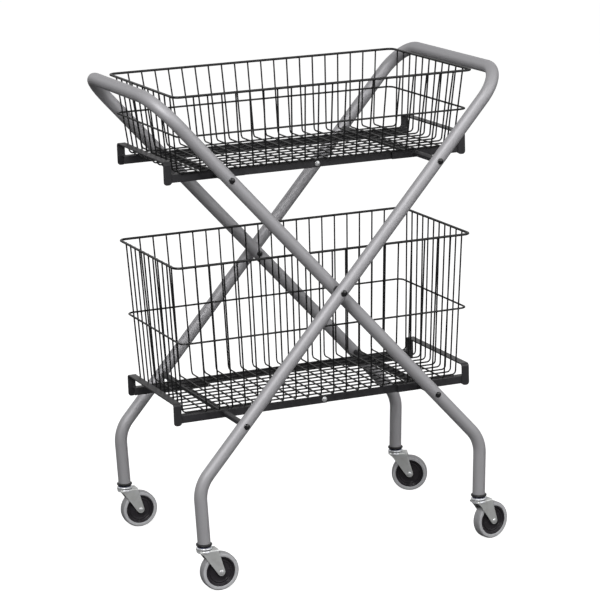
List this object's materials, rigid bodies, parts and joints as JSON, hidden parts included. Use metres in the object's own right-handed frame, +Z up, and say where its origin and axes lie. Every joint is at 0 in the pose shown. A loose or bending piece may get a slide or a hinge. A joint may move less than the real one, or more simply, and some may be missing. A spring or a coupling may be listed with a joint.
{
  "type": "folding utility cart",
  "caption": "Folding utility cart with crossed tube frames, jack-knifing trays, lift-out wire baskets and swivel casters.",
  "frame": {"origin": "bottom centre of the overall box, on the floor under the middle of the cart", "axes": "+Z up, +X along the cart towards the handle of the outer frame, -Y towards the front in the picture"},
  "size_m": [0.739, 0.4858, 0.9697],
  "materials": {
    "frame_tube": "silver-grey powder coat, satin",
    "black_steel": "black powder coat, satin",
    "basket_wire": "black dip coat, semi-gloss",
    "silver_rivet": "bright zinc plate",
    "black_rivet": "black, semi-gloss",
    "zinc": "bright zinc plate",
    "socket_plastic": "moulded, matte",
    "hub_plastic": "moulded, matte",
    "tyre_rubber": "grey non-marking rubber, matte"
  },
  "bodies": {
    "centre_pivot": {"front_pivot_pin": "black_rivet", "back_pivot_pin": "black_rivet", "front_pivot_spacer": "socket_plastic", "back_pivot_spacer": "socket_plastic"},
    "frame_a": {"frame_a_tube": "frame_tube", "front_right_leg_socket": "socket_plastic", "back_right_leg_socket": "socket_plastic"},
    "frame_b": {"frame_b_tube": "frame_tube", "front_left_leg_socket": "socket_plastic", "back_left_leg_socket": "socket_plastic"},
    "upper_left_tray": {"upper_left_end_hoop": "black_steel", "upper_left_cross_bar": "black_steel", "upper_left_front_rail": "black_steel", "upper_left_back_rail": "black_steel", "upper_front_hinge_rivet": "silver_rivet", "upper_back_hinge_rivet": "silver_rivet"},
    "upper_right_tray": {"upper_right_end_hoop": "black_steel", "upper_right_cross_bar": "black_steel", "upper_right_front_rail": "black_steel", "upper_right_back_rail": "black_steel"},
    "lower_left_tray": {"lower_left_end_hoop": "black_steel", "lower_left_cross_bar": "black_steel", "lower_left_front_rail": "black_steel", "lower_left_back_rail": "black_steel", "lower_front_hinge_rivet": "silver_rivet", "lower_back_hinge_rivet": "silver_rivet"},
    "lower_right_tray": {"lower_right_end_hoop": "black_steel", "lower_right_cross_bar": "black_steel", "lower_right_front_rail": "black_steel", "lower_right_back_rail": "black_steel"},
    "upper_basket": {"upper_basket_rim": "basket_wire", "upper_basket_front_wall": "basket_wire", "upper_basket_back_wall": "basket_wire", "upper_basket_left_wall": "basket_wire", "upper_basket_right_wall": "basket_wire", "upper_basket_long_wires": "basket_wire", "upper_basket_cross_wires": "basket_wire"},
    "lower_basket": {"lower_basket_rim": "basket_wire", "lower_basket_front_wall": "basket_wire", "lower_basket_back_wall": "basket_wire", "lower_basket_left_wall": "basket_wire", "lower_basket_right_wall": "basket_wire", "lower_basket_long_wires": "basket_wire", "lower_basket_cross_wires": "basket_wire"},
    "front_left_swivel": {"front_left_fork": "zinc", "front_left_axle": "zinc"},
    "front_left_wheel": {"front_left_hub": "hub_plastic", "front_left_tyre": "tyre_rubber"},
    "back_left_swivel": {"back_left_fork": "zinc", "back_left_axle": "zinc"},
    "back_left_wheel": {"back_left_hub": "hub_plastic", "back_left_tyre": "tyre_rubber"},
    "front_right_swivel": {"front_right_fork": "zinc", "front_right_axle": "zinc"},
    "front_right_wheel": {"front_right_hub": "hub_plastic", "front_right_tyre": "tyre_rubber"},
    "back_right_swivel": {"back_right_fork": "zinc", "back_right_axle": "zinc"},
    "back_right_wheel": {"back_right_hub": "hub_plastic", "back_right_tyre": "tyre_rubber"}
  },
  "joints": [
    {"name": "frame_a_fold", "type": "hinge", "parent": "centre_pivot", "child": "frame_a", "pos_m": [0, 0, 0.557], "axis": [0, 1, 0], "range_deg": [0, 23.5]},
    {"name": "frame_b_fold", "type": "hinge", "parent": "centre_pivot", "child": "frame_b", "pos_m": [0, 0, 0.557], "axis": [0, 1, 0], "range_deg": [-23.5, 0]},
    {"name": "upper_left_tray_fold", "type": "hinge", "parent": "frame_a", "child": "upper_left_tray", "pos_m": [-0.211, 0, 0.794], "axis": [0, 1, 0], "range_deg": [-86, 0]},
    {"name": "upper_right_tray_fold", "type": "hinge", "parent": "frame_b", "child": "upper_right_tray", "pos_m": [0.211, 0, 0.794], "axis": [0, 1, 0], "range_deg": [0, 86]},
    {"name": "lower_left_tray_fold", "type": "hinge", "parent": "frame_b", "child": "lower_left_tray", "pos_m": [-0.211, 0, 0.32], "axis": [0, 1, 0], "range_deg": [-39, 0]},
    {"name": "lower_right_tray_fold", "type": "hinge", "parent": "frame_a", "child": "lower_right_tray", "pos_m": [0.211, 0, 0.32], "axis": [0, 1, 0], "range_deg": [0, 39]},
    {"name": "upper_basket_lift", "type": "slide", "parent": "centre_pivot", "child": "upper_basket", "axis": [0, 0, 1], "range_m": [0, 0.83]},
    {"name": "lower_basket_lift", "type": "slide", "parent": "centre_pivot", "child": "lower_basket", "axis": [0, 0, 1], "range_m": [0, 0.18]},
    {"name": "front_left_swivel_turn", "type": "hinge", "parent": "frame_b", "child": "front_left_swivel", "pos_m": [-0.3035, -0.227, 0.098], "axis": [0, 0, 1], "continuous": true},
    {"name": "front_left_wheel_roll", "type": "hinge", "parent": "front_left_swivel", "child": "front_left_wheel", "pos_m": [-0.2745, -0.227, 0.038], "axis": [0, 1, 0], "continuous": true},
    {"name": "back_left_swivel_turn", "type": "hinge", "parent": "frame_b", "child": "back_left_swivel", "pos_m": [-0.3035, 0.227, 0.098], "axis": [0, 0, 1], "continuous": true},
    {"name": "back_left_wheel_roll", "type": "hinge", "parent": "back_left_swivel", "child": "back_left_wheel", "pos_m": [-0.2745, 0.227, 0.038], "axis": [0, 1, 0], "continuous": true},
    {"name": "front_right_swivel_turn", "type": "hinge", "parent": "frame_a", "child": "front_right_swivel", "pos_m": [0.3035, -0.197, 0.098], "axis": [0, 0, 1], "continuous": true},
    {"name": "front_right_wheel_roll", "type": "hinge", "parent": "front_right_swivel", "child": "front_right_wheel", "pos_m": [0.33187, -0.19097, 0.038], "axis": [-0.2079, 0.9781, 0], "continuous": true},
    {"name": "back_right_swivel_turn", "type": "hinge", "parent": "frame_a", "child": "back_right_swivel", "pos_m": [0.3035, 0.197, 0.098], "axis": [0, 0, 1], "continuous": true},
    {"name": "back_right_wheel_roll", "type": "hinge", "parent": "back_right_swivel", "child": "back_right_wheel", "pos_m": [0.32956, 0.18429, 0.038], "axis": [0.4384, 0.8988, 0], "continuous": true}
  ],
  "couplings": [
    {"joint": "frame_b_fold", "follows": "frame_a_fold", "ratio": -1},
    {"joint": "upper_left_tray_fold", "follows": "frame_a_fold", "ratio": -3.639},
    {"joint": "upper_right_tray_fold", "follows": "frame_a_fold", "ratio": 3.639},
    {"joint": "lower_left_tray_fold", "follows": "frame_a_fold", "ratio": -1.639},
    {"joint": "lower_right_tray_fold", "follows": "frame_a_fold", "ratio": 1.639},
    {"joint": "upper_basket_lift", "follows": "frame_a_fold", "m_per_rad": 2},
    {"joint": "lower_basket_lift", "follows": "frame_a_fold", "m_per_rad": 0.43}
  ]
}
